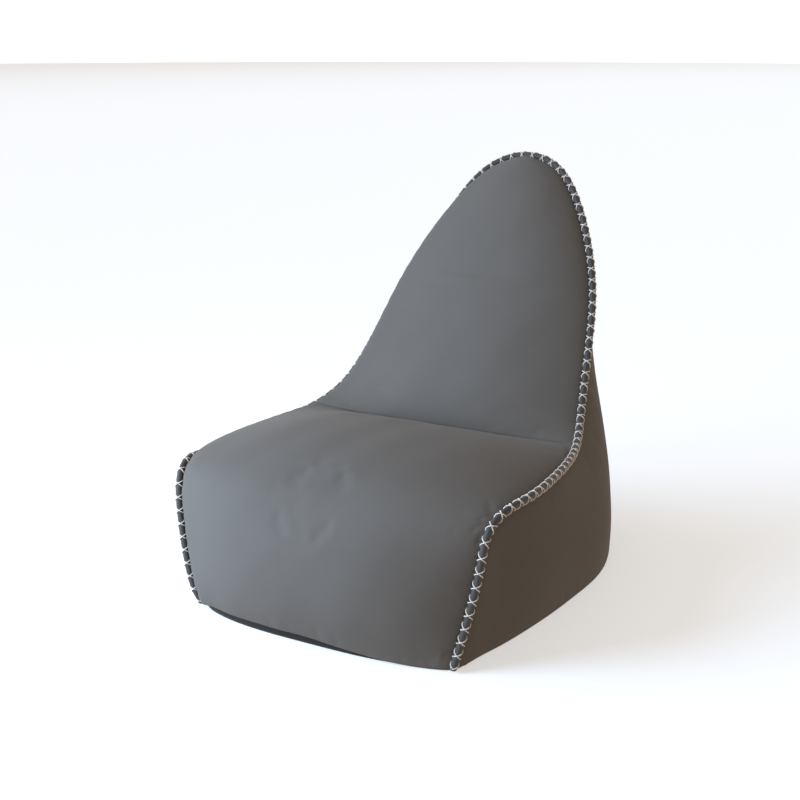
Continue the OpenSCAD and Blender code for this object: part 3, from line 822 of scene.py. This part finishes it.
top_cloth = cloth("grey_top_cloth", (0.140, 0.141, 0.142))
# The side panels' cloth is the top cloth made a little darker and warmer: painted shade for sides that turn
# away from the key light.
painted_shade_side_cloth = cloth("grey_cloth_painted_side_shade", (0.132, 0.130, 0.127))
base_mat = cloth("black_base_cloth", (0.010, 0.010, 0.011), rough=0.7)
welt_mat = cloth("welt_cloth", (0.052, 0.052, 0.054), pitch=0.9, rough=0.6, spec=0.35, sheen=0.2)
thread_mat = twisted_thread("white_thread", (0.93, 0.93, 0.93))
cord_mat = cloth("cord_cotton", (0.68, 0.67, 0.62))
liner_mat = cloth("liner_cloth", (0.72, 0.72, 0.70))
bead_mat = bead_material("white_beads")
tape_mat = cloth("woven_tape", (0.017, 0.017, 0.018), pitch=0.8, use_uv=False)
teeth_mat = hard("black_moulded_teeth", (0.018, 0.018, 0.02), 0.0, 0.38)
metal_mat = hard("dark_plated_metal", (0.22, 0.22, 0.23), 1.0, 0.36, wear=0.5)

for obj, mat, slot_name, nodes in (
    (seat, top_cloth, "top_fabric", ["seat_panel"]),
    (backrest, top_cloth, "top_fabric", ["backrest_panel"]),
    (left_side, painted_shade_side_cloth, "side_fabric", ["left_side_panel"]),
    (right_side, painted_shade_side_cloth, "side_fabric", ["right_side_panel"]),
    (base, base_mat, "base_fabric", ["base_panel"]),
    (welt, welt_mat, "welt_fabric", ["edge_welt_casing"]),
    (cord, cord_mat, "welt_cord", ["edge_welt_cord"]),
    (thread_a, thread_mat, "thread", ["cross_stitch_thread_a"]),
    (thread_b, thread_mat, "thread", ["cross_stitch_thread_b"]),
    (liner, liner_mat, "liner", ["inner_liner"]),
    (beads, bead_mat, "beads", ["bean_filling"]),
):
    obj.data.materials.append(mat)
    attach(obj, "chair")
    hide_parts(*nodes)

# The CAD's own parts that stay in sight
for name, mat in (("crease_seam_tape", tape_mat), ("zip_tape_left", tape_mat), ("zip_tape_right", tape_mat),
                  ("zip_teeth_left", teeth_mat), ("zip_teeth_right", teeth_mat), ("zip_top_stops", metal_mat),
                  ("zip_bottom_stop", metal_mat), ("zip_slider", metal_mat), ("zip_pull", metal_mat)):
    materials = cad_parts[name].data.materials
    materials.clear()
    materials.append(mat)


# ---------- studio ----------
def studio_material(name, colour, glow):
    m, nt, bsdf = material(name)
    bsdf.inputs["Base Color"].default_value = (*colour, 1)
    bsdf.inputs["Roughness"].default_value = 1.0
    bsdf.inputs["Specular IOR Level"].default_value = 0.0
    bsdf.inputs["Emission Color"].default_value = (1, 1, 1, 1)
    bsdf.inputs["Emission Strength"].default_value = glow
    return m


BELOW = -0.0003
FLOOR_HALF, WALL_R, WALL_TOP, WALL_SIDES = 40, 36, 12.0, 64
corners = [(x * FLOOR_HALF, y * FLOOR_HALF, BELOW) for x, y in ((-1, -1), (1, -1), (1, 1), (-1, 1))]
floor = make("studio_floor", np.array(corners), [(0, 1, 2, 3)])
floor.data.materials.append(studio_material("studio_floor", (0.74, 0.85, 1.0), 0.5))
ring = np.linspace(0, 2 * np.pi, WALL_SIDES, endpoint=False)
wall_points = [(WALL_R * math.cos(a), WALL_R * math.sin(a), z) for z in (BELOW, WALL_TOP) for a in ring]
wall = make("studio_wall", np.array(wall_points), grid_faces(2, WALL_SIDES, wrap=True))
wall.data.materials.append(studio_material("studio_wall", (0.5, 0.5, 0.5), 1.1))
for o in (floor, wall):
    o.visible_diffuse = False

world = bpy.data.worlds.new("studio")
bpy.context.scene.world = world
world.use_nodes = True
world.node_tree.nodes["Background"].inputs[0].default_value = (1.0, 0.76, 0.55, 1)
world.node_tree.nodes["Background"].inputs[1].default_value = 0.42


def light(name, kind, energy, colour, direction):
    """direction is where the light comes from."""
    data = bpy.data.lights.new(name, kind)
    data.energy, data.color = energy, colour
    obj = bpy.data.objects.new(name, data)
    bpy.context.scene.collection.objects.link(obj)
    obj.rotation_mode = "QUATERNION"
    obj.rotation_quaternion = Vector(direction).to_track_quat("Z", "Y")
    return obj


def sun(name, direction, strength, angle, colour):
    light(name, "SUN", strength * math.pi, colour, direction).data.angle = math.radians(angle)


def softbox(name, place, aim, size, power, colour):
    obj = light(name, "AREA", power, colour, Vector(place) - Vector(aim))
    obj.data.size, obj.location = size, place


COOL = (0.80, 0.98, 1.17)
sun("key", (-0.90, -0.38, 0.36), 0.90, 60, COOL)
softbox("softbox", (-1.05, -1.60, 0.62), (0.0, 0.1, 0.45), 0.9, 31, COOL)

bpy.context.scene.view_settings.view_transform = "Standard"
cam_data = bpy.data.cameras.new("camera")
cam = bpy.data.objects.new("camera", cam_data)
bpy.context.scene.collection.objects.link(cam)
cam.location = (1.2307, -2.2988, 1.0761)
cam.rotation_euler = (math.radians(90 - 15.67), 0, math.radians(29.33))
cam_data.sensor_width = 36
cam_data.lens = 60.75
cam_data.clip_end = 200
bpy.context.scene.camera = cam
